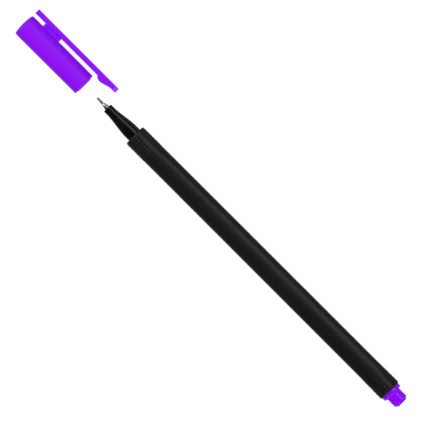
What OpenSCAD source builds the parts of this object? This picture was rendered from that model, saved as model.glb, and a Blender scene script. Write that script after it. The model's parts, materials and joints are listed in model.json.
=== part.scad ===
// Fineliner pen with its cap drawn off, lying on a table.
// Each piece is drawn along the pen's own axis: x runs from the nib to the tail,
// y points out of the cap towards its clip, and z towards the barrel's upper face.
// The barrel's front rim is at x = 0. lay_down() then sets the pen on the table.

/* [Barrel] */
// Length of the barrel tube
barrel_len = 130.2; // [115:0.1:145]
// Outer diameter at the front rim
barrel_front_d = 8.5; // [8:0.05:9]
// Outer diameter at the rear rim
barrel_rear_d = 8.74; // [8.2:0.02:9.2]
// Bore that holds the ink reservoir, the nose and the tail plug
barrel_bore_d = 5.9; // [5:0.05:6.4]
// Rounding of both rims
barrel_edge_r = 0.65; // [0.2:0.05:0.8]

/* [Barrel faces] */
// How far the crown of each face lies below the round barrel
face_depth = 0.22; // [0.2:0.01:0.65]
// Curve of each face across the barrel
face_curve_r = 6; // [6:0.5:30]
// Length over which a face runs out into the round barrel
face_runout = 8.2; // [4:0.2:14]
// Front rim to where the faces begin
face_front_gap = 9.2; // [6:0.2:16]
// Rear rim to where the faces end
face_rear_gap = 4.3; // [3:0.1:12]
// Turn of the faces about the pen's axis, against the clip
face_turn = -2; // [-30:1:30]

/* [Grip dots] */
// Dots in each ring
dot_columns = 21; // [12:1:24]
// Rings of dots behind the front rim
dot_rows_front = 6; // [1:1:6]
// Rings of dots before the rear rim
dot_rows_rear = 3; // [1:1:3]
// Distance from ring to ring
dot_pitch = 1.37; // [1:0.01:1.6]
// Diameter of a dot
dot_d = 0.84; // [0.5:0.02:1]
// Height of a dot over the barrel
dot_height = 0.14; // [0.05:0.01:0.2]
// Front rim to the first ring
dot_front_gap = 1.6; // [1.2:0.05:2]
// Rear rim to the last ring
dot_rear_gap = 1.1; // [1.05:0.05:2]

/* [Nose] */
// Length of the nose before the barrel's front rim
nose_len = 13.8; // [11:0.1:16]
// Diameter of the nose at its front face
nose_tip_d = 3.64; // [3:0.02:4.4]
// Length of the straight land behind the front face
nose_land_len = 2; // [1:0.1:3]
// Diameter of the straight land that the cap seals on
seal_d = 5.64; // [5:0.02:5.7]
// Length of that land before the barrel
seal_len = 2.45; // [1.5:0.05:3.5]
// Rounding of the front face's edge
nose_edge_r = 0.2; // [0.05:0.05:0.4]
// Length of the spigot inside the barrel
nose_spigot_len = 9; // [5:0.5:14]
// Wall of the nose round its hollow rear
nose_wall = 0.9; // [0.6:0.05:1.2]

/* [Tip] */
// Length of nib that stands out of its steel needle
nib_out = 1.2; // [0.6:0.1:2]
// Diameter of the writing point
nib_d = 0.6; // [0.3:0.05:0.6]
// Length of the straight needle
needle_len = 1.86; // [1:0.02:3]
// Outer diameter of the needle
needle_d = 0.88; // [0.66:0.02:0.9]
// Length of the steel cone before the nose
cone_len = 2.17; // [1.5:0.01:3]
// Outer diameter of the steel shank in the nose
shank_d = 2.12; // [1.4:0.02:2.2]
// Length of the shank inside the nose
shank_len = 7.5; // [4:0.5:9]
// Diameter of the capillary rod behind the point
nib_rod_d = 1.2; // [0.9:0.02:1.3]
// How far the rod is pushed into the ink reservoir
nib_depth = 6; // [3:0.5:12]

/* [Ink reservoir] */
// Thickness of the film round the fibre core
film_wall = 0.1; // [0.08:0.01:0.2]
// Radial play of the wrapped reservoir in the barrel
reservoir_play = 0.1; // [0.05:0.01:0.3]

/* [Tail plug] */
// Diameter of the flange against the barrel's rear rim
flange_d = 7.84; // [6.8:0.05:8]
// Thickness of the flange
flange_len = 1.36; // [0.8:0.02:2]
// Rounding of the flange's edge
flange_edge_r = 0.3; // [0.1:0.05:0.5]
// Diameter of the knob that the cap is posted on
knob_d = 5.8; // [5:0.05:5.9]
// Length of the knob behind the flange
knob_len = 4.26; // [3.5:0.02:6]
// Hollow curve between flange and knob
knob_neck_r = 0.55; // [0.2:0.05:0.8]
// Rounding of the knob's end
knob_edge_r = 0.6; // [0.2:0.05:0.8]
// Diameter of the low button on the knob's end
button_d = 4.3; // [3:0.02:4.5]
// Height of that button
button_len = 0.5; // [0.2:0.02:0.8]
// Rounding of the button's edge
button_edge_r = 0.2; // [0.1:0.05:0.3]
// Length of the plug's spigot inside the barrel
plug_spigot_len = 8; // [5:0.5:12]
// Wall of the hollow plug
plug_wall = 0.9; // [0.6:0.05:1.3]

/* [Cap] */
// Length of the cap from its closed end to its mouth
cap_len = 31.4; // [28:0.1:36]
// Diameter beside the closed end
cap_closed_d = 9.02; // [8.8:0.02:9.6]
// Diameter at the mouth
cap_mouth_d = 8.84; // [8.7:0.02:9.4]
// Wall of the outer shell
cap_wall = 0.72; // [0.5:0.02:0.9]
// Thickness of the closed end
cap_end_wall = 1; // [0.6:0.05:1.5]
// Height of the closed end's dome
dome_rise = 0.32; // [0.1:0.02:0.6]
// Rounding between dome and side
cap_edge_r = 0.84; // [0.3:0.02:0.9]
// How far the shell's lip lies behind the inner cap's rim
lip_back = 0.3; // [0.1:0.02:0.5]
// Further slope of the lip across its width
lip_slope = 0.1; // [0.02:0.02:0.3]
// Rounding of the lip's outer edge
lip_edge_r = 0.2; // [0.1:0.05:0.3]
// Diameter of the air vent in the closed end
vent_d = 2.2; // [1:0.1:3.2]
// Barrel's front rim to the cap's mouth, as the pen lies
cap_off = 25.4; // [21:0.1:60]

/* [Inner cap] */
// Wall of the inner cap
inner_cap_wall = 0.48; // [0.4:0.02:0.55]
// Length of the inner cap
inner_cap_len = 21.6; // [20.5:0.1:26]
// Thickness of the inner cap's end
inner_cap_end_wall = 0.8; // [0.5:0.05:1.2]
// Rounding of the inner cap's rim
inner_cap_edge_r = 0.1; // [0.05:0.05:0.2]
// How far the inner cap's rim falls back towards its outer side
inner_cap_slope = 0.2; // [0.02:0.02:0.3]
// Ribs that carry the inner cap in the shell
rib_count = 4; // [3:1:8]
// Width of a rib
rib_w = 0.9; // [0.6:0.05:1.2]
// Mouth to the front end of the ribs
rib_back = 2.4; // [1.5:0.1:4]

/* [Clip] */
// Thickness of the clip
clip_t = 1.98; // [1.4:0.02:2.4]
// Width of the clip
clip_w = 3.6; // [3:0.1:4.6]
// Gap between the clip and the cap
clip_gap = 1.3; // [1:0.05:1.8]
// Closed end to the clip's rear end
clip_back = 0.5; // [0.2:0.05:2]
// How far the clip reaches past the mouth
clip_overhang = 9.67; // [7:0.01:12]
// Rounding of the clip's ends, seen from the side
clip_end_r = 0.4; // [0.1:0.05:0.6]
// Rounding along the clip's outer edges
clip_edge_r = 0.35; // [0.1:0.05:0.6]
// Width of the clip's front end
clip_tip_w = 3.6; // [2.6:0.1:3.6]
// Width of the waist behind the front end
clip_waist_w = 2.7; // [2:0.1:3]
// Front end of the clip to the waist
clip_waist_back = 1.7; // [1.2:0.1:2.6]
// Length of the taper to the waist
clip_taper_len = 0.9; // [0.6:0.1:2]
// Closed end to the bridge that carries the clip
bridge_back = 5.7; // [4:0.02:8]
// Length of the bridge
bridge_len = 8.02; // [6:0.02:11]
// Length of the bridge's wide rear rib
bridge_rib_len = 1.3; // [0.8:0.05:2]
// Width of that rib
bridge_rib_w = 3.2; // [2.8:0.05:3.4]
// Width of the bridge's web
bridge_web_w = 1.5; // [1:0.05:2.6]
// Depth of the bump under the clip
bump_depth = 1.06; // [0.5:0.02:1.1]
// Length of the bump
bump_len = 6.7; // [4:0.1:8]
// Front end of the clip to the bump
bump_back = 2.2; // [1:0.1:3]

/* [Fits] */
// Radial interference of pieces that are pressed together
press = 0.02; // [0.01:0.005:0.04]
// Radial clearance of the cap on the nose
cap_play = 0.05; // [0.02:0.01:0.09]
// Clearance round the clip's root, where it flexes
flex_play = 0.03; // [0.02:0.01:0.06]
// Radial clearance of the writing point in its needle
nib_play = 0.015; // [0.01:0.005:0.03]

/* [Hidden] */

// Overrun of every cut, and how deep joined shapes reach into each other
over = 0.4;
// Play between the nib's rod and the nose
rod_play = 0.2;
// Turn of the dot rings, which sets a dot nearly opposite the clip
dot_turn = -92;
// Steps of a rounded corner, of a long curve and of the bump's outline
corner_steps = 6;
curve_steps = 14;
bump_steps = 18;
// How far the nose's flare leans from a straight cone to a full S curve
flare_share = 0.5;
// Where the bump is deepest, and how sharply it rises and falls
bump_lean = 0.56;
bump_power = 1.4;
// The clip's flexing root lies this share of its thickness before the bridge
flex_share = 0.62;
// The bridge starts this share of the cap's radius from the axis
bridge_root_share = 0.7;

barrel_front_r = barrel_front_d / 2;
barrel_rear_r = barrel_rear_d / 2;
barrel_bore_r = barrel_bore_d / 2;
face_crown = barrel_front_r - face_depth;
face_axis = face_curve_r - face_crown;
face_open_r = face_axis + max(barrel_front_r, barrel_rear_r) + over;
seal_r = seal_d / 2;
nose_tip_r = nose_tip_d / 2;
nose_hollow_r = seal_r - nose_wall;
flare_len = nose_len - nose_land_len - seal_len;
needle_r = needle_d / 2;
shank_r = shank_d / 2;
nib_r = nib_d / 2;
nib_rod_r = nib_rod_d / 2;
point_len = nib_out + needle_len + cone_len;
film_r = barrel_bore_r - reservoir_play;
reservoir_r = film_r - film_wall;
reservoir_len = barrel_len - nose_spigot_len - plug_spigot_len;
flange_r = flange_d / 2;
knob_r = knob_d / 2;
button_r = button_d / 2;
tail_len = flange_len + knob_len + button_len;
cap_closed_r = cap_closed_d / 2;
cap_mouth_r = cap_mouth_d / 2;
cap_bore_r = cap_mouth_r - cap_wall;
inner_bore_r = seal_r + cap_play;
inner_cap_r = inner_bore_r + inner_cap_wall;
clip_under = cap_closed_r + clip_gap;
clip_top = clip_under + clip_t;
clip_start = clip_back - cap_len;
bridge_start = bridge_back - cap_len;
bridge_end = bridge_start + bridge_len;
flex_x = bridge_end + clip_t * flex_share;
flex_y = clip_under + clip_t / 2;

// The pen lies on its widest round piece and on the lower outer edge of the clip
lying_r = max(cap_closed_r, cap_mouth_r, barrel_front_r, barrel_rear_r);
edge_y = clip_top - clip_edge_r;
edge_z = clip_w / 2 - clip_edge_r;
roll = asin((lying_r - clip_edge_r) / norm([edge_y, edge_z])) - atan2(edge_z, edge_y);
far_y = edge_y * cos(roll) + edge_z * sin(roll) + clip_edge_r;
mid_x = (barrel_len + tail_len - cap_off - cap_len) / 2;
mid_y = (far_y - lying_r) / 2;

black_satin = "#1d1d20";
black_gloss = "#121214";
steel_grey = "#b8b2aa";
ink_violet = "#5b1a99";
fibre_violet = "#6f3bb0";
film_white = "#e6e6ea";
cap_violet = "#8c14f0";
plug_violet = "#8a04fb";

$fn = 96;

// Lays what is drawn along the pen's axis on the table
module lay_down() translate([-mid_x, -mid_y, lying_r]) rotate([-roll, 0, 0]) children();

// As lay_down, for the cap's pieces, which are drawn with the mouth at x = 0
module lay_cap_down() lay_down() translate([-cap_off, 0, 0]) children();

// Turns an outline of [radius, x] points about the pen's axis
module turned(outline) rotate([0, 90, 0]) rotate_extrude() polygon(outline);

// A round bar along the pen's axis
module bar(r, from, to) translate([from, 0, 0]) rotate([0, 90, 0]) cylinder(h = to - from, r = r);

// Points of an arc round [cr, cx]
function arc(cr, cx, r, from, to, steps = corner_steps) =
    [for (i = [0:steps]) let (a = from + (to - from) * i / steps) [cr + r * cos(a), cx + r * sin(a)]];

// Rises from 0 to 1 with soft ends
function soft(u) = (1 - cos(180 * u)) / 2;

// Outer radius of the round barrel
function barrel_r(x) = barrel_front_r + (barrel_rear_r - barrel_front_r) * x / barrel_len;

function barrel_outline() = concat(
    [[0, 0]],
    arc(barrel_front_r - barrel_edge_r, barrel_edge_r, barrel_edge_r, -90, 0),
    arc(barrel_rear_r - barrel_edge_r, barrel_len - barrel_edge_r, barrel_edge_r, 0, 90),
    [[0, barrel_len]]);

// Radius of a face's own round bar, u of the way along a run-out that starts at x on the round barrel
function runout_r(x, u) = let (start_r = face_axis + barrel_r(x))
    start_r + (face_curve_r - start_r) * sin(90 * u);

// That bar, which clears the barrel at both ends and dips fastest where it enters
function face_outline() = let (rear = barrel_len - face_rear_gap) concat(
    [[0, -over], [face_open_r, -over]],
    [for (i = [-1:curve_steps]) let (u = i / curve_steps)
        [runout_r(face_front_gap, u), face_front_gap + face_runout * u]],
    [for (i = [-curve_steps:1]) let (u = -i / curve_steps)
        [runout_r(rear, u), rear - face_runout * u]],
    [[face_open_r, barrel_len + over], [0, barrel_len + over]]);

module face_bar(turn) rotate([turn - face_turn, 0, 0]) translate([0, 0, -face_axis]) turned(face_outline());

// One ring of grip dots
module dot_ring(x)
    for (i = [0:dot_columns - 1])
        rotate([-dot_turn - 360 / dot_columns * i, 0, 0])
            translate([x, 0, barrel_r(x) - over])
                cylinder(h = over + dot_height, r = dot_d / 2, $fn = 24);

// Black tube with three shallow faces and two bands of dots
module barrel() color(black_satin) lay_down() difference() {
    union() {
        intersection() {
            turned(barrel_outline());
            face_bar(0);
            face_bar(120);
            face_bar(240);
        }
        for (i = [0:dot_rows_front - 1]) dot_ring(dot_front_gap + dot_pitch * i);
        for (i = [0:dot_rows_rear - 1]) dot_ring(barrel_len - dot_rear_gap - dot_pitch * i);
    }
    bar(barrel_bore_r, -over, barrel_len + over);
}

// Front face, straight land, flare and sealing land, then the spigot in the barrel
function nose_outline() = concat(
    [[0, -nose_len]],
    arc(nose_tip_r - nose_edge_r, nose_edge_r - nose_len, nose_edge_r, -90, 0),
    [for (i = [0:curve_steps])
        let (u = i / curve_steps, lift = (1 - flare_share) * u + flare_share * soft(u))
        [nose_tip_r + (seal_r - nose_tip_r) * lift, nose_land_len - nose_len + flare_len * u]],
    [[seal_r, over], [barrel_bore_r + press, over], [barrel_bore_r + press, nose_spigot_len],
        [0, nose_spigot_len]]);

// Glossy front section, pressed into the barrel
module nose_cone() color(black_gloss) lay_down() difference() {
    turned(nose_outline());
    bar(shank_r - press, -nose_len - over, shank_len - nose_len);
    bar(nib_rod_r + rod_play, shank_len - nose_len - over, nose_spigot_len);
    bar(nose_hollow_r, -seal_len, nose_spigot_len + over);
}

// Steel needle, cone and shank, with a bore that follows them
function tip_outline() = let (end = shank_len - nose_len, front = -nose_len - cone_len - needle_len) [
    [nib_r + nib_play, front],
    [needle_r, front],
    [needle_r, -nose_len - cone_len],
    [shank_r, -nose_len],
    [shank_r, end],
    [nib_rod_r - press, end],
    [nib_rod_r - press, -nose_len],
    [nib_r + nib_play, -nose_len - cone_len]];

module steel_tip() color(steel_grey) lay_down() turned(tip_outline());

// Writing point, taper inside the cone, and the rod that draws ink from the reservoir
function nib_outline() = concat(
    [[0, -nose_len - point_len]],
    arc(0, nib_r - nose_len - point_len, nib_r, -75, 0),
    [[nib_r, -nose_len - cone_len], [nib_rod_r - nib_play, -nose_len],
        [nib_rod_r, -nose_len], [nib_rod_r, nose_spigot_len + nib_depth], [0, nose_spigot_len + nib_depth]]);

module nib() color(ink_violet) lay_down() turned(nib_outline());

// Fibre core that holds the ink, between the nose and the tail plug
module ink_reservoir() color(fibre_violet) lay_down() difference() {
    bar(reservoir_r + press, nose_spigot_len, nose_spigot_len + reservoir_len);
    bar(nib_rod_r - press, nose_spigot_len - over, nose_spigot_len + nib_depth);
}

// Film wrapped round the fibre core
module reservoir_film() color(film_white) lay_down() difference() {
    bar(film_r, nose_spigot_len, nose_spigot_len + reservoir_len);
    bar(reservoir_r, nose_spigot_len - over, nose_spigot_len + reservoir_len + over);
}

// Spigot in the barrel, flange, knob and button, from front to rear
function plug_outline() = let (face = barrel_len + flange_len, knob_end = face + knob_len) concat(
    [[0, barrel_len - plug_spigot_len], [barrel_bore_r + press, barrel_len - plug_spigot_len],
        [barrel_bore_r + press, barrel_len], [flange_r, barrel_len]],
    arc(flange_r - flange_edge_r, face - flange_edge_r, flange_edge_r, 0, 90),
    arc(knob_r + knob_neck_r, face + knob_neck_r, knob_neck_r, 270, 180),
    arc(knob_r - knob_edge_r, knob_end - knob_edge_r, knob_edge_r, 0, 90),
    [[button_r, knob_end]],
    arc(button_r - button_edge_r, knob_end + button_len - button_edge_r, button_edge_r, 0, 90),
    [[0, knob_end + button_len]]);

// Violet plug that closes the barrel
module tail_plug() color(plug_violet) lay_down() difference() {
    turned(plug_outline());
    bar(min(barrel_bore_r, knob_r) - plug_wall, barrel_len - plug_spigot_len - over,
        barrel_len + flange_len + knob_len - plug_wall);
}

// Dome, slightly tapered side and sloping lip of the shell
function cap_outline() = let (
        dome_edge_r = cap_closed_r - cap_edge_r,
        dome_r = (dome_edge_r * dome_edge_r + dome_rise * dome_rise) / (2 * dome_rise),
        dome_a = asin(dome_edge_r / dome_r))
    concat(
        arc(0, dome_r - cap_len, dome_r, -90, dome_a - 90, curve_steps),
        arc(dome_edge_r, dome_rise + cap_edge_r - cap_len, cap_edge_r, dome_a - 90, 0),
        arc(cap_mouth_r - lip_edge_r, -lip_back - lip_slope - lip_edge_r, lip_edge_r, 0, 90),
        [[cap_bore_r, -lip_back], [0, -lip_back]]);

// The clip seen from the side, from its rear end to its front end
module clip_side() {
    translate([clip_start, clip_under + clip_end_r])
        square([cap_len + clip_overhang - clip_back, clip_t - 2 * clip_end_r]);
    translate([clip_start + clip_end_r, clip_under])
        square([cap_len + clip_overhang - clip_back - 2 * clip_end_r, clip_t]);
    for (x = [clip_start + clip_end_r, clip_overhang - clip_end_r])
        for (y = [clip_under + clip_end_r, clip_top - clip_end_r])
            translate([x, y]) circle(r = clip_end_r, $fn = 32);
}

// The bump, which falls steeply on the cap's side and gently towards the clip's front end
function bump_outline() = let (start = clip_overhang - bump_back - bump_len) concat(
    [[start, clip_under + clip_end_r]],
    [for (i = [0:bump_steps]) let (u = i / bump_steps)
        [start + bump_len * u,
            clip_under - bump_depth * pow(max(0, sin(180 * pow(u, bump_lean))), bump_power)]],
    [[start + bump_len, clip_under + clip_end_r]]);

// The clip seen from its end, with its outer edges rounded, as long as the clip
module clip_end_view() {
    translate([0, -clip_w / 2]) square([edge_y, clip_w]);
    translate([0, -edge_z]) square([clip_top, 2 * edge_z]);
    for (z = [-edge_z, edge_z]) translate([edge_y, z]) circle(r = clip_edge_r, $fn = 32);
}

module clip_lengthwise() translate([-cap_len, 0, 0]) rotate([90, 0, 90])
    linear_extrude(cap_len + clip_overhang + over) clip_end_view();

// One side of the clip seen from above: straight, drawn in to the waist, then wider at the front end
function clip_half_plan(side) = [
    [-cap_len, side * clip_w / 2],
    [clip_overhang - clip_waist_back - clip_taper_len, side * clip_w / 2],
    [clip_overhang - clip_waist_back, side * clip_waist_w / 2],
    [clip_overhang, side * clip_tip_w / 2]];

module clip_plan() rotate([-90, 0, 0]) linear_extrude(clip_top + over)
    polygon(concat(clip_half_plan(-1), [for (i = [3:-1:0]) clip_half_plan(1)[i]]));

// Bridge that joins the shell and the clip: a wide rib and a narrower web
module bridge() {
    root = cap_closed_r * bridge_root_share;
    translate([bridge_start, root, -bridge_rib_w / 2])
        cube([bridge_rib_len, clip_under + clip_end_r - root, bridge_rib_w]);
    translate([bridge_start, root, -bridge_web_w / 2])
        cube([bridge_len, clip_under + clip_end_r - root, bridge_web_w]);
}

// Outer shell of the cap, with the bridge and the fixed rear part of the clip
module cap_shell() color(cap_violet) lay_cap_down() difference() {
    union() {
        turned(cap_outline());
        bridge();
        intersection() {
            translate([0, 0, -clip_w / 2]) linear_extrude(clip_w) difference() {
                clip_side();
                translate([flex_x, 0]) square([cap_len + clip_overhang, clip_top + over]);
            }
            clip_lengthwise();
        }
    }
    bar(cap_bore_r, cap_end_wall + dome_rise - cap_len, over);
    bar(vent_d / 2, -cap_len - over, cap_end_wall + dome_rise + over - cap_len);
    translate([flex_x, flex_y, -clip_w / 2 - over])
        cylinder(h = clip_w + 2 * over, r = clip_t / 2 + flex_play);
}

// Free arm of the clip, with a round root that it flexes about
module clip() color(cap_violet) lay_cap_down() intersection() {
    translate([0, 0, -clip_w / 2]) linear_extrude(clip_w) {
        intersection() {
            clip_side();
            translate([flex_x, 0]) square([cap_len + clip_overhang, clip_top + over]);
        }
        polygon(bump_outline());
        translate([flex_x, flex_y]) circle(r = clip_t / 2);
    }
    clip_lengthwise();
    clip_plan();
}

// Inner cap that seals round the nose, carried in the shell by ribs
function inner_cap_outline() = concat(
    [[0, -inner_cap_len], [inner_cap_r, -inner_cap_len]],
    arc(inner_cap_r - inner_cap_edge_r, -inner_cap_slope - inner_cap_edge_r, inner_cap_edge_r, 0, 90),
    arc(inner_bore_r + inner_cap_edge_r, -inner_cap_edge_r, inner_cap_edge_r, 90, 180),
    [[inner_bore_r, inner_cap_end_wall - inner_cap_len], [0, inner_cap_end_wall - inner_cap_len]]);

module inner_cap() color(cap_violet) lay_cap_down() {
    turned(inner_cap_outline());
    intersection() {
        for (i = [0:rib_count - 1])
            rotate([360 / rib_count * (i + 0.5), 0, 0])
                translate([-inner_cap_len, inner_bore_r + inner_cap_wall / 2, -rib_w / 2])
                    cube([inner_cap_len - rib_back, cap_bore_r, rib_w]);
        bar(cap_bore_r + press, -inner_cap_len, -rib_back);
    }
}

barrel();
nose_cone();
steel_tip();
nib();
ink_reservoir();
reservoir_film();
tail_plug();
cap_shell();
inner_cap();
clip();
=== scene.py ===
"""Looks of the fineliner pen: fine pieces, plastic and steel finishes, studio and camera."""

import json
from math import asin, ceil, cos, pi, radians, sin, sqrt, tau

import bmesh
import bpy
from mathutils import Matrix, Vector


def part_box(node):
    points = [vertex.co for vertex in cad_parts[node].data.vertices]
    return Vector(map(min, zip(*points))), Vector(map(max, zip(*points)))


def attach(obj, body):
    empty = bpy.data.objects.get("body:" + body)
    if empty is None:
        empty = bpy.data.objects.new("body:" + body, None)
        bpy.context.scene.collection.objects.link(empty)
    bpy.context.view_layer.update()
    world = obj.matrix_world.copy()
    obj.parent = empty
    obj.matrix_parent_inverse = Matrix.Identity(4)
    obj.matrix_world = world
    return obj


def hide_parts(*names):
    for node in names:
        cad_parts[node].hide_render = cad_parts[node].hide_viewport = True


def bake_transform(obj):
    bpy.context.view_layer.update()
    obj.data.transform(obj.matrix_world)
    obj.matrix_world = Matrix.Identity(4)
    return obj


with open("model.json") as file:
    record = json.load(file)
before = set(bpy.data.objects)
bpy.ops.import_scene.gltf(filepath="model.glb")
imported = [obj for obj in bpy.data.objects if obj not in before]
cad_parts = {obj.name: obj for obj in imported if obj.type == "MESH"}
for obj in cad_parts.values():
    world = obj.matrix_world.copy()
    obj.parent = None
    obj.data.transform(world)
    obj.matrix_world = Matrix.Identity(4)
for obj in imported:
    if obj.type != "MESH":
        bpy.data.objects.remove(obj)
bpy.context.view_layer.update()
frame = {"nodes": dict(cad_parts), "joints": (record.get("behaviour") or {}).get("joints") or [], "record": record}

# The pen's own axes. Pieces are modelled on them in millimetres: x from the barrel's front rim to
# the tail, y out of the cap towards its clip, z towards the barrel's upper face. LAY sets them in
# the frame.
MM = 0.001
mounts = {mount["name"]: mount for mount in frame["record"]["mounts"]}
joints = {joint["name"]: joint for joint in frame["joints"]}
ALONG = Vector((1, 0, 0))
UPWARD = Vector(joints["clip_flex"]["axis"]).normalized()
SIDEWARD = UPWARD.cross(ALONG)
axis_point = Vector(mounts["tail_knob"]["pos_m"])
front_rim = Vector((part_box("barrel")[0].x, axis_point.y, axis_point.z))
TURN = Matrix((ALONG, SIDEWARD, UPWARD)).transposed()
LAY = Matrix.Translation(front_rim) @ TURN.to_4x4() @ Matrix.Scale(MM, 4)


def along(node, end):
    """Where a CAD node starts (end 0) or ends (end 1) along the pen's axis, in millimetres."""
    return (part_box(node)[end].x - front_rim.x) / MM


def to_frame(x, y, z):
    """A point on the pen's own axes, in the frame."""
    return LAY @ Vector((x, y, z))


# Sizes of the barrel, in millimetres. Each face is part of a wider round bar, whose skin lies
# FACE_CROWN off the axis and rises to the round barrel over the run-outs. From dot to dot the mesh
# has DOT_CELLS cells, both along and round the barrel.
BARREL_LEN = along("barrel", 1)
BARREL_FRONT_R = 4.25
BARREL_REAR_R = 4.37
BORE_R = 2.95
RIM_R = 0.65
FACE_COUNT = 3
FACE_CURVE_R = 6
FACE_CROWN = 4.03
FACE_FRONT = 9.2
FACE_REAR = 4.3
FACE_RUNOUT = 8.2
FACE_TURN = radians(-2)
DOT_COLUMNS = 21
DOT_TURN = radians(-92)
DOT_PITCH = 1.37
DOT_R = 0.42
DOT_HEIGHT = 0.11
DOT_FRONT = 1.6
DOT_REAR = 1.1
FRONT_ROWS = 6
REAR_ROWS = 3
DOT_CELLS = 12
CELL = DOT_PITCH / DOT_CELLS
RUNOUT_STEP = 3 * CELL
PLAIN_STEP = 8

# Sizes of the nose, the steel tip and the nib
NOSE_FRONT = along("nose_cone", 0)
NOSE_END = along("nose_cone", 1)
NOSE_TIP_R = 1.82
NOSE_LAND = 2.0
NOSE_EDGE_R = 0.2
SEAL_R = 2.82
SEAL_LEN = 2.45
SPIGOT_START = 0.4
NOSE_HOLLOW_R = 1.92
FLARE_SHARE = 0.5
FLARE_STEPS = 32
CHANNEL_R = 0.8
TIP_FRONT = along("steel_tip", 0)
TIP_END = along("steel_tip", 1)
CONE_LEN = 2.17
CREASE_LEN = 0.1
CREASE_RISE = 0.02
NEEDLE_R = 0.46
NEEDLE_BORE_R = 0.345
SHANK_R = 1.06
SHANK_BORE_R = 0.58
NIB_FRONT = along("nib", 0)
NIB_END = along("nib", 1)
NIB_R = 0.33
NIB_ROD_R = 0.6
NIB_ROD_EASE = 0.02

# Sizes of the tail plug
PLUG_FRONT = along("tail_plug", 0)
PLUG_END = along("tail_plug", 1)
FLANGE_R = 3.92
FLANGE_LEN = 1.36
FLANGE_EDGE_R = 0.3
KNOB_R = 2.9
KNOB_LEN = 4.26
NECK_R = 0.55
KNOB_EDGE_R = 0.6
BUTTON_R = 2.15
BUTTON_EDGE_R = 0.2
BUTTON_DISH = 0.12
DISH_STEPS = 8
PLUG_WALL = 0.9

# Sizes of the cap and its clip. LIP_BACK is measured from the mouth, BRIDGE_BACK and CLIP_BACK
# from the closed end, and CLIP_WAIST_BACK and BUMP_BACK from the clip's front end.
CAP_BACK = along("cap_shell", 0)
CAP_MOUTH = along("inner_cap", 1)
CAP_CLOSED_R = 4.51
CAP_MOUTH_R = 4.42
CAP_BORE_R = 3.7
CAP_END_WALL = 1.32
CAP_EDGE_R = 0.84
CAP_WALL_STEPS = 12
DOME_RISE = 0.32
LIP_BACK = 0.2
LIP_SLOPE = 0.06
LIP_EDGE_R = 0.26
LIP_EASE = 0.06
LIP_EASE_DROP = 0.01
VENT_R = 1.1
BRIDGE_BACK = 5.7
BRIDGE_LEN = 8.02
BRIDGE_RIB_LEN = 1.3
BRIDGE_RIB_W = 3.2
BRIDGE_WEB_W = 2.2
BRIDGE_ROOT = 4.0
BRIDGE_EDGE_R = 0.18
CLIP_BACK = 0.5
CLIP_UNDER = 5.81
CLIP_T = 1.98
CLIP_W = 3.6
CLIP_TIP_W = 3.6
CLIP_WAIST_W = 2.5
CLIP_WAIST_BACK = 1.7
CLIP_TAPER = 0.9
CLIP_EDGE_R = 0.35
CLIP_RIM_TURN = radians(70)
CLIP_STEP = 0.8
BUMP_STEP = 0.16
BUMP_DEPTH = 1.06
BUMP_LEN = 6.7
BUMP_BACK = 2.2
BUMP_LEAN = 0.56
BUMP_POWER = 1.4
# Painted light at the clip's front end: how far back from the front end the paler violet starts, and over how much
# it fades in.
PAINTED_GLOW_LEN = 1.8
PAINTED_GLOW_FADE = 0.9

# Outlines of turned pieces are lists of (radius, x).


def arc(centre_r, centre_x, r, start, end, steps=8):
    """Points of an arc, by its start and end angle in degrees, where 0 points outwards."""
    turns = [radians(start + (end - start) * i / steps) for i in range(steps + 1)]
    return [(centre_r + r * cos(a), centre_x + r * sin(a)) for a in turns]


def soft(u):
    """Rises from 0 to 1 with soft ends."""
    return (1 - cos(pi * u)) / 2


def run(start, end, step):
    """Evenly spaced places from start to end, both left out."""
    count = max(1, ceil((end - start) / step))
    return [start + (end - start) * i / count for i in range(1, count)]


# Meshes. Edges that turn by more than SHARP degrees stay sharp, unless a piece says otherwise.

SHARP = 40


def lathe(outline, steps, closed=True):
    """Turns an outline about the pen's axis. A closed outline joins its last point to its first."""
    bm = bmesh.new()
    ring = [bm.verts.new((x, 0, r)) for r, x in outline]
    pairs = list(zip(ring, ring[1:]))
    if closed:
        pairs.append((ring[-1], ring[0]))
    for pair in pairs:
        bm.edges.new(pair)
    bmesh.ops.spin(bm, geom=bm.verts[:] + bm.edges[:], cent=(0, 0, 0), axis=(1, 0, 0),
                   angle=tau, steps=steps, use_merge=True)
    bmesh.ops.remove_doubles(bm, verts=bm.verts, dist=1e-4)
    bmesh.ops.recalc_face_normals(bm, faces=bm.faces)
    return bm


def block(start, end, low_y, high_y, width, edge_r=0.0, cuts=()):
    """A block along the pen's axis, centred in z, cut at the places given, with rounded edges."""
    bm = bmesh.new()
    bmesh.ops.create_cube(bm, size=1)
    bmesh.ops.scale(bm, vec=(end - start, high_y - low_y, width), verts=bm.verts)
    bmesh.ops.translate(bm, vec=((start + end) / 2, (low_y + high_y) / 2, 0), verts=bm.verts)
    if edge_r:
        bmesh.ops.bevel(bm, geom=bm.edges[:], offset=edge_r, segments=4, profile=0.5,
                        affect="EDGES", material=-1)
    for place in cuts:
        bmesh.ops.bisect_plane(bm, geom=bm.verts[:] + bm.edges[:] + bm.faces[:], dist=1e-5,
                               plane_co=(place, 0, 0), plane_no=(1, 0, 0))
    return bm


def smooth(mesh, sharp=SHARP):
    """Shades a mesh smooth, apart from edges that turn by more than sharp degrees."""
    mesh.shade_smooth()
    mesh.set_sharp_from_angle(angle=radians(sharp))


def piece(name, bm, finish, body, slot, *stands_for, sharp=SHARP):
    """Makes a mesh of bm on the pen's axes into a named piece that rides on a body."""
    mesh = bpy.data.meshes.new(name)
    bm.to_mesh(mesh)
    bm.free()
    mesh.transform(LAY)
    smooth(mesh, sharp)
    mesh.materials.append(finish)
    made = bpy.data.objects.new(name, mesh)
    bpy.context.scene.collection.objects.link(made)
    if body:
        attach(made, body)
    if stands_for:
        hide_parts(*stands_for)
    return made


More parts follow.
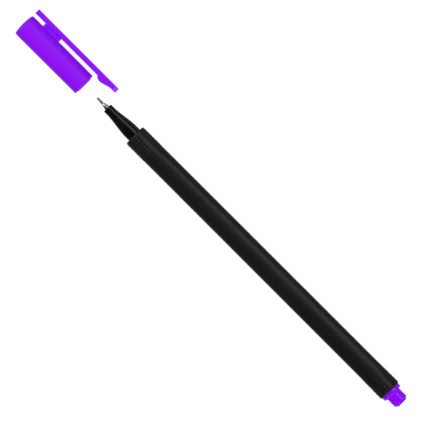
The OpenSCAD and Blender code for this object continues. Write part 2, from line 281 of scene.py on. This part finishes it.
def unite(target, *others):
    """Joins other pieces into target as one closed skin, and removes them."""
    for other in others:
        union = target.modifiers.new("union", "BOOLEAN")
        union.operation = "UNION"
        union.solver = "EXACT"
        union.object = other
        bpy.context.view_layer.update()
        evaluated = target.evaluated_get(bpy.context.evaluated_depsgraph_get())
        mesh = bpy.data.meshes.new_from_object(evaluated)
        target.modifiers.clear()
        target.data = mesh
        bpy.data.objects.remove(other)


# Materials. Patterns read the pen's own axes, and their scales are real sizes in millimetres.

# Painted light: the name of the clip's attribute that marks where a paler violet is painted in for light coming
# through its front end, and that violet.
PAINTED_GLOW_NAME = "painted_glow_share"
PAINTED_GLOW_VIOLET = "#a62cf7"
SHEEN_SPREAD = 0.04


def linear(code):
    """An sRGB hex colour as linear RGBA."""
    values = [int(code[i:i + 2], 16) / 255 for i in (1, 3, 5)]
    return [v / 12.92 if v <= 0.04045 else ((v + 0.055) / 1.055) ** 2.4 for v in values] + [1.0]


def scale_for(size_mm):
    """The scale of a pattern whose grains are so many millimetres across."""
    return 1 / (size_mm * MM)


def add(tree, kind, links=(), stops=(), **settings):
    """Adds a node. Settings named after an input set its value, and others set the node itself.
    Each link is (a node for its first output or an output socket, name or number of this node's
    input), and each stop of a colour ramp is (place, hex colour)."""
    made = tree.nodes.new(kind)
    for name, value in settings.items():
        if hasattr(made, name):
            setattr(made, name, value)
        else:
            made.inputs[name.replace("_", " ")].default_value = value
    for source, socket in links:
        output = source.outputs[0] if isinstance(source, bpy.types.Node) else source
        tree.links.new(output, made.inputs[socket])
    if stops:
        points = made.color_ramp.elements
        while len(points) < len(stops):
            points.new(0.5)
        for point, (place, code) in zip(points, stops):
            point.position = place
            point.color = linear(code)
    return made


def material(name):
    """An empty node material and its tree."""
    made = bpy.data.materials.new(name)
    made.use_nodes = True
    made.node_tree.nodes.clear()
    return made, made.node_tree


def pen_axes(tree):
    """Object coordinates turned to the pen's own axes, in metres, with the axis at the middle."""
    where = add(tree, "ShaderNodeTexCoord")
    return add(tree, "ShaderNodeMapping", [(where.outputs["Object"], "Vector")],
               Rotation=TURN.inverted().to_euler(), Location=TURN.inverted() @ -front_rim)


def satin_black():
    """Polypropylene moulded against an eroded steel mould: deep black with a soft, even sheen.
    The real grain is about 0.03 mm, too fine to show, and is drawn at 0.12 mm. The flow of the
    melt makes the sheen wander, over some 6 mm across and 24 mm along."""
    made, tree = material("satin_black_polypropylene")
    axes = pen_axes(tree)
    drawn_out = add(tree, "ShaderNodeMapping", [(axes, "Vector")], Scale=(0.25, 1, 1))
    grain = add(tree, "ShaderNodeTexNoise", [(axes, "Vector")],
                Scale=scale_for(0.12), Detail=3.0, Roughness=0.55)
    flow = add(tree, "ShaderNodeTexNoise", [(drawn_out, "Vector")],
               Scale=scale_for(6), Detail=2.0, Roughness=0.55)
    colour = add(tree, "ShaderNodeValToRGB", [(flow, "Fac")],
                 stops=[(0.3, "#070708"), (0.7, "#0a0a0b")])
    sheen = add(tree, "ShaderNodeMapRange", [(flow, "Value")], To_Min=0.37, To_Max=0.43)
    relief = add(tree, "ShaderNodeBump", [(grain, "Height")], Strength=0.5, Distance=0.012 * MM)
    skin = add(tree, "ShaderNodeBsdfPrincipled",
               [(colour, "Base Color"), (sheen, "Roughness"), (relief, "Normal")],
               IOR=1.49, Specular_IOR_Level=0.27)
    add(tree, "ShaderNodeOutputMaterial", [(skin, "Surface")])
    return made


def gloss_black():
    """Polypropylene moulded against a polished steel mould: near-black with thin, sharp
    highlights, which the flow of the melt bends a little over 2.5 mm."""
    made, tree = material("gloss_black_polypropylene")
    drawn_out = add(tree, "ShaderNodeMapping", [(pen_axes(tree), "Vector")], Scale=(0.3, 1, 1))
    flow = add(tree, "ShaderNodeTexNoise", [(drawn_out, "Vector")],
               Scale=scale_for(2.5), Detail=2.0, Roughness=0.55)
    sheen = add(tree, "ShaderNodeMapRange", [(flow, "Value")], To_Min=0.12, To_Max=0.18)
    relief = add(tree, "ShaderNodeBump", [(flow, "Height")], Strength=0.3, Distance=0.01 * MM)
    skin = add(tree, "ShaderNodeBsdfPrincipled", [(sheen, "Roughness"), (relief, "Normal")],
               Base_Color=linear("#070708"), IOR=1.49, Specular_IOR_Level=0.3)
    add(tree, "ShaderNodeOutputMaterial", [(skin, "Surface")])
    return made


def violet_plastic(name, base, deep, roughness, graining):
    """Pigmented, moulded polypropylene: saturated violet that lets a little light in. The real
    grain of its skin is about 0.03 mm, too fine to show, and is drawn at 0.15 mm. Where a piece's
    own attribute says so, the base colour is mixed towards a paler violet. This is painted light,
    standing in for light that comes through the clip's front end."""
    made, tree = material(name)
    axes = pen_axes(tree)
    drawn_out = add(tree, "ShaderNodeMapping", [(axes, "Vector")], Scale=(0.2, 1, 1))
    flow = add(tree, "ShaderNodeTexNoise", [(drawn_out, "Vector")],
               Scale=scale_for(5), Detail=3.0, Roughness=0.55)
    grain = add(tree, "ShaderNodeTexNoise", [(axes, "Vector")],
                Scale=scale_for(0.15), Detail=2.0, Roughness=0.55)
    colour = add(tree, "ShaderNodeValToRGB", [(flow, "Fac")], stops=[(0.3, deep), (0.65, base)])
    painted_glow_share = add(tree, "ShaderNodeAttribute", attribute_name=PAINTED_GLOW_NAME)
    painted_glow_colour = add(tree, "ShaderNodeMixRGB", [(painted_glow_share.outputs["Fac"], "Fac"), (colour, "Color1")],
                Color2=linear(PAINTED_GLOW_VIOLET))
    sheen = add(tree, "ShaderNodeMapRange", [(flow, "Value")],
                To_Min=roughness - SHEEN_SPREAD, To_Max=roughness + SHEEN_SPREAD)
    relief = add(tree, "ShaderNodeBump", [(grain, "Height")],
                 Strength=graining, Distance=0.006 * MM)
    skin = add(tree, "ShaderNodeBsdfPrincipled",
               [(painted_glow_colour, "Base Color"), (sheen, "Roughness"), (relief, "Normal")],
               IOR=1.49, Specular_IOR_Level=0.17, Subsurface_Weight=0.12,
               Subsurface_Scale=0.4 * MM, Subsurface_Radius=(0.9, 0.2, 1.0))
    add(tree, "ShaderNodeOutputMaterial", [(skin, "Surface")])
    return made


def drawn_steel():
    """Stainless steel drawn into a tube and turned: bright, with fine rings. They are drawn
    0.1 mm apart, because the real ones are too fine to show."""
    made, tree = material("drawn_stainless_steel")
    axes = pen_axes(tree)
    round_about = add(tree, "ShaderNodeMapping", [(axes, "Vector")], Scale=(1, 0.05, 0.05))
    rings = add(tree, "ShaderNodeTexNoise", [(round_about, "Vector")],
                Scale=scale_for(0.1), Detail=2.0, Roughness=0.55)
    stain = add(tree, "ShaderNodeTexNoise", [(axes, "Vector")],
                Scale=scale_for(0.8), Detail=2.0, Roughness=0.55)
    colour = add(tree, "ShaderNodeValToRGB", [(stain, "Fac")],
                 stops=[(0.3, "#a29b94"), (0.7, "#b2aba4")])
    sheen = add(tree, "ShaderNodeMapRange", [(rings, "Value")], To_Min=0.06, To_Max=0.1)
    relief = add(tree, "ShaderNodeBump", [(rings, "Height")], Strength=0.4, Distance=0.004 * MM)
    skin = add(tree, "ShaderNodeBsdfPrincipled",
               [(colour, "Base Color"), (sheen, "Roughness"), (relief, "Normal")], Metallic=1.0)
    add(tree, "ShaderNodeOutputMaterial", [(skin, "Surface")])
    return made


def inked_rod():
    """Extruded acetal rod soaked with violet ink: dull and dark, with threads along it that are
    about 0.06 mm thick."""
    made, tree = material("inked_acetal_rod")
    drawn_out = add(tree, "ShaderNodeMapping", [(pen_axes(tree), "Vector")], Scale=(0.15, 1, 1))
    threads = add(tree, "ShaderNodeTexNoise", [(drawn_out, "Vector")],
                  Scale=scale_for(0.06), Detail=2.0, Roughness=0.55)
    colour = add(tree, "ShaderNodeValToRGB", [(threads, "Fac")],
                 stops=[(0.3, "#3f0878"), (0.7, "#4f0c90")])
    relief = add(tree, "ShaderNodeBump", [(threads, "Height")], Strength=0.4, Distance=0.01 * MM)
    skin = add(tree, "ShaderNodeBsdfPrincipled", [(colour, "Base Color"), (relief, "Normal")],
               Roughness=0.5, IOR=1.48, Specular_IOR_Level=0.3)
    add(tree, "ShaderNodeOutputMaterial", [(skin, "Surface")])
    return made


def inked_fibre():
    """Bonded polyester fibres full of ink: soft, matt and streaked lengthwise. The real fibres
    are 0.02 mm thick, too fine to show, and are drawn as bundles of 0.12 mm."""
    made, tree = material("inked_polyester_fibre")
    drawn_out = add(tree, "ShaderNodeMapping", [(pen_axes(tree), "Vector")], Scale=(0.05, 1, 1))
    threads = add(tree, "ShaderNodeTexNoise", [(drawn_out, "Vector")],
                  Scale=scale_for(0.12), Detail=3.0, Roughness=0.55)
    colour = add(tree, "ShaderNodeValToRGB", [(threads, "Fac")],
                 stops=[(0.3, "#4a1a8c"), (0.7, "#8450c8")])
    relief = add(tree, "ShaderNodeBump", [(threads, "Height")], Strength=0.6, Distance=0.05 * MM)
    skin = add(tree, "ShaderNodeBsdfPrincipled", [(colour, "Base Color"), (relief, "Normal")],
               Roughness=0.85)
    add(tree, "ShaderNodeOutputMaterial", [(skin, "Surface")])
    return made


def wrapper_film():
    """Thin polypropylene film: milky and smooth, with creases some 3 mm apart."""
    made, tree = material("polypropylene_film")
    drawn_out = add(tree, "ShaderNodeMapping", [(pen_axes(tree), "Vector")], Scale=(0.3, 1, 1))
    creases = add(tree, "ShaderNodeTexNoise", [(drawn_out, "Vector")],
                  Scale=scale_for(3), Detail=2.0, Roughness=0.55)
    sheen = add(tree, "ShaderNodeMapRange", [(creases, "Value")], To_Min=0.2, To_Max=0.35)
    relief = add(tree, "ShaderNodeBump", [(creases, "Height")], Strength=0.4, Distance=0.05 * MM)
    skin = add(tree, "ShaderNodeBsdfPrincipled", [(sheen, "Roughness"), (relief, "Normal")],
               Base_Color=linear("#e6e6ea"), IOR=1.49)
    add(tree, "ShaderNodeOutputMaterial", [(skin, "Surface")])
    return made


BLACK_SATIN = satin_black()
BLACK_GLOSS = gloss_black()
CAP_VIOLET = violet_plastic("violet_polypropylene_cap", base="#9003f2", deep="#8902ea",
                            roughness=0.45, graining=0.35)
PLUG_VIOLET = violet_plastic("violet_polypropylene_plug", base="#9903ff", deep="#9202fa",
                             roughness=0.2, graining=0.06)
STEEL = drawn_steel()
INKED_ROD = inked_rod()
INKED_FIBRE = inked_fibre()
FILM = wrapper_film()


# Barrel: a turned tube whose skin is drawn in to three faces and pushed out to the dots


def barrel_r(x):
    """Radius of the round barrel, which widens evenly to the tail."""
    return BARREL_FRONT_R + (BARREL_REAR_R - BARREL_FRONT_R) * x / BARREL_LEN


def face_bar_r(x):
    """Radius of the round bar that each face is part of, which meets the round barrel where its
    run-outs start, and dips fastest there."""
    rear = BARREL_LEN - FACE_REAR
    bars = []
    for start, depth in ((FACE_FRONT, x - FACE_FRONT), (rear, rear - x)):
        start_r = FACE_CURVE_R - FACE_CROWN + barrel_r(start)
        share = min(1, max(-1, depth / FACE_RUNOUT))
        bars.append(start_r + (FACE_CURVE_R - start_r) * sin(share * pi / 2))
    return max(bars)


def draw_in_faces(verts):
    """Pulls the skin in to the bars of the faces."""
    for k in range(FACE_COUNT):
        turn = k * tau / FACE_COUNT - FACE_TURN
        centre = Vector((sin(turn), cos(turn))) * (FACE_CROWN - FACE_CURVE_R)
        for v in verts:
            from_centre = Vector(v.co.yz) - centre
            bar_r = face_bar_r(v.co.x)
            if from_centre.length > bar_r:
                v.co.yz = centre + from_centre.normalized() * bar_r


def push_out_dots(verts, rings):
    """Raises a low dome where each column of dots crosses a ring."""
    for v in verts:
        ring = min(rings, key=lambda place: abs(place - v.co.x))
        r = Vector(v.co.yz).length
        turn = (Vector((0, 1)).angle_signed(Vector(v.co.yz)) - DOT_TURN) * DOT_COLUMNS / tau
        across = (turn - round(turn)) * tau / DOT_COLUMNS * r
        off = sqrt(across ** 2 + (v.co.x - ring) ** 2) / DOT_R
        if off < 1:
            v.co.yz *= (r + DOT_HEIGHT * (1 - off ** 2)) / r


def barrel():
    """The tube, with a finer mesh where the dots and the faces' run-outs are."""
    front_rings = [DOT_FRONT + DOT_PITCH * i for i in range(FRONT_ROWS)]
    rear_rings = [BARREL_LEN - DOT_REAR - DOT_PITCH * i for i in range(REAR_ROWS)]
    front_band = front_rings[-1] + DOT_R + CELL
    rear_band = rear_rings[-1] - DOT_R - CELL
    face_start = FACE_FRONT + FACE_RUNOUT
    face_end = BARREL_LEN - FACE_REAR - FACE_RUNOUT
    places = [*run(RIM_R, front_band, CELL), *run(front_band, face_start, RUNOUT_STEP),
              *run(face_start, face_end, PLAIN_STEP), *run(face_end, rear_band, RUNOUT_STEP),
              *run(rear_band, BARREL_LEN - RIM_R, CELL),
              face_start, face_end, front_band, rear_band]
    outline = [(BORE_R, 0), *arc(BARREL_FRONT_R - RIM_R, RIM_R, RIM_R, -90, 0)]
    outline += [(barrel_r(x), x) for x in sorted(places)]
    outline += arc(BARREL_REAR_R - RIM_R, BARREL_LEN - RIM_R, RIM_R, 0, 90)
    outline += [(BORE_R, BARREL_LEN)]
    bm = lathe(outline, steps=DOT_COLUMNS * DOT_CELLS)
    skin = [v for v in bm.verts if Vector(v.co.yz).length > BARREL_FRONT_R - RIM_R]
    draw_in_faces(skin)
    push_out_dots([v for v in skin if v.co.x < front_band or v.co.x > rear_band],
                  front_rings + rear_rings)
    piece("barrel_tube", bm, BLACK_SATIN, "pen", "barrel_black", "barrel", sharp=60)


# Nose, steel tip and nib


def nose():
    """The nose section, with the ring that the cap seals on and the spigot inside the barrel."""
    flare_start = NOSE_FRONT + NOSE_LAND
    flare_len = -SEAL_LEN - flare_start
    outline = [(SHANK_R, NOSE_FRONT),
               *arc(NOSE_TIP_R - NOSE_EDGE_R, NOSE_FRONT + NOSE_EDGE_R, NOSE_EDGE_R, -90, 0)]
    for i in range(FLARE_STEPS + 1):
        u = i / FLARE_STEPS
        lift = (1 - FLARE_SHARE) * u + FLARE_SHARE * soft(u)
        outline.append((NOSE_TIP_R + (SEAL_R - NOSE_TIP_R) * lift, flare_start + flare_len * u))
    outline += [(SEAL_R, SPIGOT_START), (BORE_R, SPIGOT_START), (BORE_R, NOSE_END),
                (NOSE_HOLLOW_R, NOSE_END), (NOSE_HOLLOW_R, -SEAL_LEN), (CHANNEL_R, -SEAL_LEN),
                (CHANNEL_R, TIP_END), (SHANK_R, TIP_END)]
    piece("nose_section", lathe(outline, steps=128), BLACK_GLOSS, "pen", "nose_black", "nose_cone")


def tip():
    """The steel tip: a cone that runs out into the needle sleeve round the nib."""
    cone_front = NOSE_FRONT - CONE_LEN
    lip = (NEEDLE_R - NEEDLE_BORE_R) / 2
    outline = [*arc(NEEDLE_R - lip, TIP_FRONT + lip, lip, -180, 0, steps=6),
               (NEEDLE_R, cone_front - CREASE_LEN), (NEEDLE_R + CREASE_RISE, cone_front),
               (SHANK_R, NOSE_FRONT), (SHANK_R, TIP_END), (SHANK_BORE_R, TIP_END),
               (SHANK_BORE_R, NOSE_FRONT), (NEEDLE_BORE_R, cone_front)]
    piece("tip_sleeve", lathe(outline, steps=64), STEEL, "pen", "tip_steel", "steel_tip")


def writing_nib():
    """The round writing point, and the rod behind it that feeds it."""
    outline = [*arc(0, NIB_FRONT + NIB_R, NIB_R, -90, 0), (NIB_R, NOSE_FRONT - CONE_LEN),
               (NIB_ROD_R - NIB_ROD_EASE, NOSE_FRONT), (NIB_ROD_R, NIB_END), (0, NIB_END)]
    piece("nib_rod", lathe(outline, steps=32, closed=False), INKED_ROD, "pen", "nib_violet", "nib")


# Tail plug


def plug():
    """The end plug: spigot, flange, knob and the low, dished button on its end."""
    face = BARREL_LEN + FLANGE_LEN
    knob_end = face + KNOB_LEN
    hollow = KNOB_R - PLUG_WALL
    dish_r = BUTTON_R - BUTTON_EDGE_R
    outline = [(hollow, PLUG_FRONT), (BORE_R, PLUG_FRONT), (BORE_R, BARREL_LEN),
               (FLANGE_R, BARREL_LEN),
               *arc(FLANGE_R - FLANGE_EDGE_R, face - FLANGE_EDGE_R, FLANGE_EDGE_R, 0, 90),
               *arc(KNOB_R + NECK_R, face + NECK_R, NECK_R, 270, 180),
               *arc(KNOB_R - KNOB_EDGE_R, knob_end - KNOB_EDGE_R, KNOB_EDGE_R, 0, 90),
               (BUTTON_R, knob_end),
               *arc(dish_r, PLUG_END - BUTTON_EDGE_R, BUTTON_EDGE_R, 0, 90)]
    for i in range(1, DISH_STEPS + 1):
        share = 1 - i / DISH_STEPS
        outline.append((dish_r * share, PLUG_END - BUTTON_DISH * soft(1 - share)))
    outline += [(0, knob_end - PLUG_WALL), (hollow, knob_end - PLUG_WALL), (hollow, PLUG_FRONT)]
    piece("end_plug", lathe(outline, steps=128, closed=False), PLUG_VIOLET, "pen", "plug_violet",
          "tail_plug")


# Cap and clip


def cap_shell():
    """The cap's outer shell, joined with the bridge that carries the clip: a rib and a web."""
    edge_r = CAP_CLOSED_R - CAP_EDGE_R
    dome_r = (edge_r ** 2 + DOME_RISE ** 2) / (2 * DOME_RISE)
    dome_turn = asin(edge_r / dome_r) * 180 / pi
    vent_turn = asin(VENT_R / dome_r) * 180 / pi
    outline = [*arc(0, CAP_BACK + dome_r, dome_r, vent_turn - 90, dome_turn - 90, steps=16),
               *arc(edge_r, CAP_BACK + DOME_RISE + CAP_EDGE_R, CAP_EDGE_R, dome_turn - 90, 0,
                    steps=10)]
    rim = CAP_MOUTH - LIP_BACK
    lip = rim - LIP_SLOPE
    start_r, start_x = outline[-1]
    for i in range(1, CAP_WALL_STEPS):
        outline.append((start_r + (CAP_MOUTH_R - start_r) * i / CAP_WALL_STEPS,
                        start_x + (lip - LIP_EDGE_R - start_x) * i / CAP_WALL_STEPS))
    outline += [*arc(CAP_MOUTH_R - LIP_EDGE_R, lip - LIP_EDGE_R, LIP_EDGE_R, 0, 90),
                (CAP_BORE_R + LIP_EASE, rim - LIP_EASE_DROP), (CAP_BORE_R, rim - LIP_EASE),
                (CAP_BORE_R, CAP_BACK + CAP_END_WALL), (VENT_R, CAP_BACK + CAP_END_WALL)]
    shell = piece("cap_body", lathe(outline, steps=192), CAP_VIOLET, "cap", "cap_violet",
                  "cap_shell")
    rib_back = CAP_BACK + BRIDGE_BACK
    top = CLIP_UNDER + CLIP_T / 3
    rib = piece("rib", block(rib_back, rib_back + BRIDGE_RIB_LEN, BRIDGE_ROOT, top, BRIDGE_RIB_W,
                             BRIDGE_EDGE_R), CAP_VIOLET, None, "cap_violet")
    web = piece("web", block(rib_back + BRIDGE_RIB_LEN / 2, rib_back + BRIDGE_LEN, BRIDGE_ROOT,
                             top, BRIDGE_WEB_W, BRIDGE_EDGE_R), CAP_VIOLET, None, "cap_violet")
    unite(shell, rib, web)
    smooth(shell.data)


def bump_under(x):
    """How far the bump reaches down under the clip at x."""
    u = (x - (along("clip", 1) - BUMP_BACK - BUMP_LEN)) / BUMP_LEN
    if not 0 < u < 1:
        return 0
    return BUMP_DEPTH * sin(pi * u ** BUMP_LEAN) ** BUMP_POWER


def clip_w(back):
    """Width of the clip, so far behind its front end: drawn in to a waist, then wider again."""
    if back < CLIP_WAIST_BACK:
        return CLIP_TIP_W + (CLIP_WAIST_W - CLIP_TIP_W) * soft(back / CLIP_WAIST_BACK)
    share = min(1, (back - CLIP_WAIST_BACK) / CLIP_TAPER)
    return CLIP_WAIST_W + (CLIP_W - CLIP_WAIST_W) * soft(share)


def clip():
    """The clip is one bar from the cap to its front end; the moulded one bends between the cap and its own arm."""
    back = CAP_BACK + CLIP_BACK
    tip_end = along("clip", 1)
    bump_end = tip_end - BUMP_BACK
    bump_start = tip_end - BUMP_BACK - BUMP_LEN
    bm = block(back, tip_end, CLIP_UNDER, CLIP_UNDER + CLIP_T, CLIP_W,
               cuts=[*run(back, bump_start, CLIP_STEP), *run(bump_start, bump_end, BUMP_STEP),
                     *run(bump_end, tip_end, BUMP_STEP), bump_start, bump_end])
    for v in bm.verts:
        if v.co.y < CLIP_UNDER + CLIP_T / 2:
            v.co.y -= bump_under(v.co.x)
        v.co.z *= clip_w(tip_end - v.co.x) / CLIP_W
    bm.normal_update()
    rims = [e for e in bm.edges if len(e.link_faces) == 2 and e.calc_face_angle(0) > CLIP_RIM_TURN]
    bmesh.ops.bevel(bm, geom=rims, offset=CLIP_EDGE_R, segments=5, profile=0.5, affect="EDGES",
                    material=-1, clamp_overlap=True)
    # Painted light: the last part of the clip is marked for a paler base colour, which fades in towards the front
    # end and stands in for light coming through it.
    painted_glow_share = bm.verts.layers.float.new(PAINTED_GLOW_NAME)
    for v in bm.verts:
        v[painted_glow_share] = min(1, max(0, (v.co.x - tip_end + PAINTED_GLOW_LEN) / PAINTED_GLOW_FADE))
    made = piece("clip_bar", bm, CAP_VIOLET, None, "cap_violet", "clip", sharp=35)
    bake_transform(made)


def finish_cad_node(node, finish):
    """A CAD node that keeps its shape gets its finish in every material slot."""
    mesh = frame["nodes"][node].data
    if not mesh.materials:
        mesh.materials.append(finish)
    for i in range(len(mesh.materials)):
        mesh.materials[i] = finish


# Studio. The light table is white to the camera, faint to reflections, and grey paper to all
# other light. The sky is brighter beyond both ends of the pen and on the side away from the clip.

TABLE_PAPER = "#909090"
TABLE_SHARE = 0.8
GLOSS_SHARE = 0.06
TABLE_GLOW = 1.2
FLOOR_HALF_M = 6
NOSE_END_SKY = "#d8d8d8"
TAIL_END_SKY = "#f4f4f4"
MIDDLE_SKY = "#363636"
SKY_GLOW = 1.8
SKY_LEAN = 0.4
LAMP_AIM = BARREL_LEN / 3


def camera():
    """Long lens square to the pen's upper side, with the pen from upper left to lower right."""
    pixel_mm = 0.36
    image_px = 443
    centre_x = 44.14
    centre_y = 0.16
    lens = 800
    sensor = 36
    distance = image_px * pixel_mm * MM * lens / sensor
    data = bpy.data.cameras.new("camera")
    data.lens = lens
    data.sensor_width = sensor
    data.clip_start = 0.1
    data.clip_end = 20
    made = bpy.data.objects.new("camera", data)
    bpy.context.scene.collection.objects.link(made)
    right = (ALONG + SIDEWARD).normalized()
    up = (SIDEWARD - ALONG).normalized()
    turn = Matrix((right, up, UPWARD)).transposed().to_4x4()
    spot = to_frame(centre_x, centre_y, 0) + UPWARD * distance
    made.matrix_world = Matrix.Translation(spot) @ turn
    bpy.context.scene.camera = made


def softbox(name, tilt, lean, swing, distance, across, length, glow):
    """A soft lamp over the pen, tilted from square above it towards the clip's side, leaning
    towards the tail, and with its length swung from the pen's axis towards the clip's side, all
    in degrees. Its distance and sides are in metres, and 1 is white for its glow."""
    data = bpy.data.lights.new(name, "AREA")
    data.shape = "RECTANGLE"
    data.size = across
    data.size_y = length
    data.energy = glow * pi * across * length
    made = bpy.data.objects.new(name, data)
    bpy.context.scene.collection.objects.link(made)
    middle = to_frame(LAMP_AIM, 0, 0)
    upright = UPWARD * cos(radians(tilt)) + SIDEWARD * sin(radians(tilt))
    way = upright * cos(radians(lean)) + ALONG * sin(radians(lean))
    span = ALONG * cos(radians(swing)) + SIDEWARD * sin(radians(swing))
    side = span.cross(way).normalized()
    turn = Matrix((side, way.cross(side), way)).transposed()
    made.matrix_world = Matrix.Translation(middle + way * distance) @ turn.to_4x4()


def white_floor():
    """Matt paper on a light table, on which the camera still sees soft shadows."""
    made, tree = material("white_light_table")
    rays = add(tree, "ShaderNodeLightPath")
    gloss = add(tree, "ShaderNodeMath", [(rays.outputs["Is Glossy Ray"], 0)],
                operation="MULTIPLY")
    gloss.inputs[1].default_value = GLOSS_SHARE
    seen = add(tree, "ShaderNodeMath", [(rays.outputs["Is Camera Ray"], 0)], operation="MULTIPLY")
    seen.inputs[1].default_value = TABLE_SHARE
    share = add(tree, "ShaderNodeMath", [(gloss, 0), (seen, 1)], operation="MAXIMUM")
    paper = add(tree, "ShaderNodeBsdfDiffuse", Color=linear(TABLE_PAPER))
    table = add(tree, "ShaderNodeEmission", Color=linear("#ffffff"), Strength=TABLE_GLOW)
    mixed = add(tree, "ShaderNodeMixShader", [(share, "Fac"), (paper, 1), (table, 2)])
    add(tree, "ShaderNodeOutputMaterial", [(mixed, "Surface")])
    return made


def lay_floor():
    """The light table under the pen."""
    bm = bmesh.new()
    bmesh.ops.create_grid(bm, x_segments=1, y_segments=1, size=FLOOR_HALF_M)
    mesh = bpy.data.meshes.new("floor")
    bm.to_mesh(mesh)
    bm.free()
    floor = bpy.data.objects.new("floor", mesh)
    bpy.context.scene.collection.objects.link(floor)
    mesh.materials.append(white_floor())


def sky():
    """The light round the pen, which the camera itself sees as plain white."""
    world = bpy.data.worlds.new("studio")
    bpy.context.scene.world = world
    world.use_nodes = True
    tree = world.node_tree
    tree.nodes.clear()
    where = add(tree, "ShaderNodeTexCoord")
    parts = add(tree, "ShaderNodeSeparateXYZ", [(where.outputs["Generated"], "Vector")])
    lengthwise = add(tree, "ShaderNodeMapRange", [(parts.outputs["X"], "Value")],
                     From_Min=-1, From_Max=1)
    colour = add(tree, "ShaderNodeValToRGB", [(lengthwise, "Fac")],
                 stops=[(0.24, NOSE_END_SKY), (0.36, MIDDLE_SKY), (0.66, MIDDLE_SKY),
                        (0.8, TAIL_END_SKY)])
    crosswise = add(tree, "ShaderNodeMapRange", [(parts.outputs["Y"], "Value")],
                    From_Min=-1, From_Max=1,
                    To_Min=SKY_GLOW * (1 + SKY_LEAN), To_Max=SKY_GLOW * (1 - SKY_LEAN))
    light = add(tree, "ShaderNodeBackground", [(colour, "Color"), (crosswise, "Strength")])
    backdrop = add(tree, "ShaderNodeBackground", Color=linear("#ffffff"))
    rays = add(tree, "ShaderNodeLightPath")
    shown = add(tree, "ShaderNodeMixShader",
                [(rays.outputs["Is Camera Ray"], "Fac"), (light, 1), (backdrop, 2)])
    add(tree, "ShaderNodeOutputWorld", [(shown, "Surface")])


camera()
lay_floor()
sky()
softbox("key", tilt=39, lean=0, swing=10, distance=0.9, across=0.5, length=0.9, glow=2.0)
softbox("tip_light", tilt=-8, lean=-34, swing=0, distance=0.9, across=0.6, length=0.2, glow=5.0)
bpy.context.scene.view_settings.view_transform = "Standard"

barrel()
nose()
tip()
writing_nib()
plug()
cap_shell()
clip()
finish_cad_node("inner_cap", CAP_VIOLET)
finish_cad_node("ink_reservoir", INKED_FIBRE)
finish_cad_node("reservoir_film", FILM)
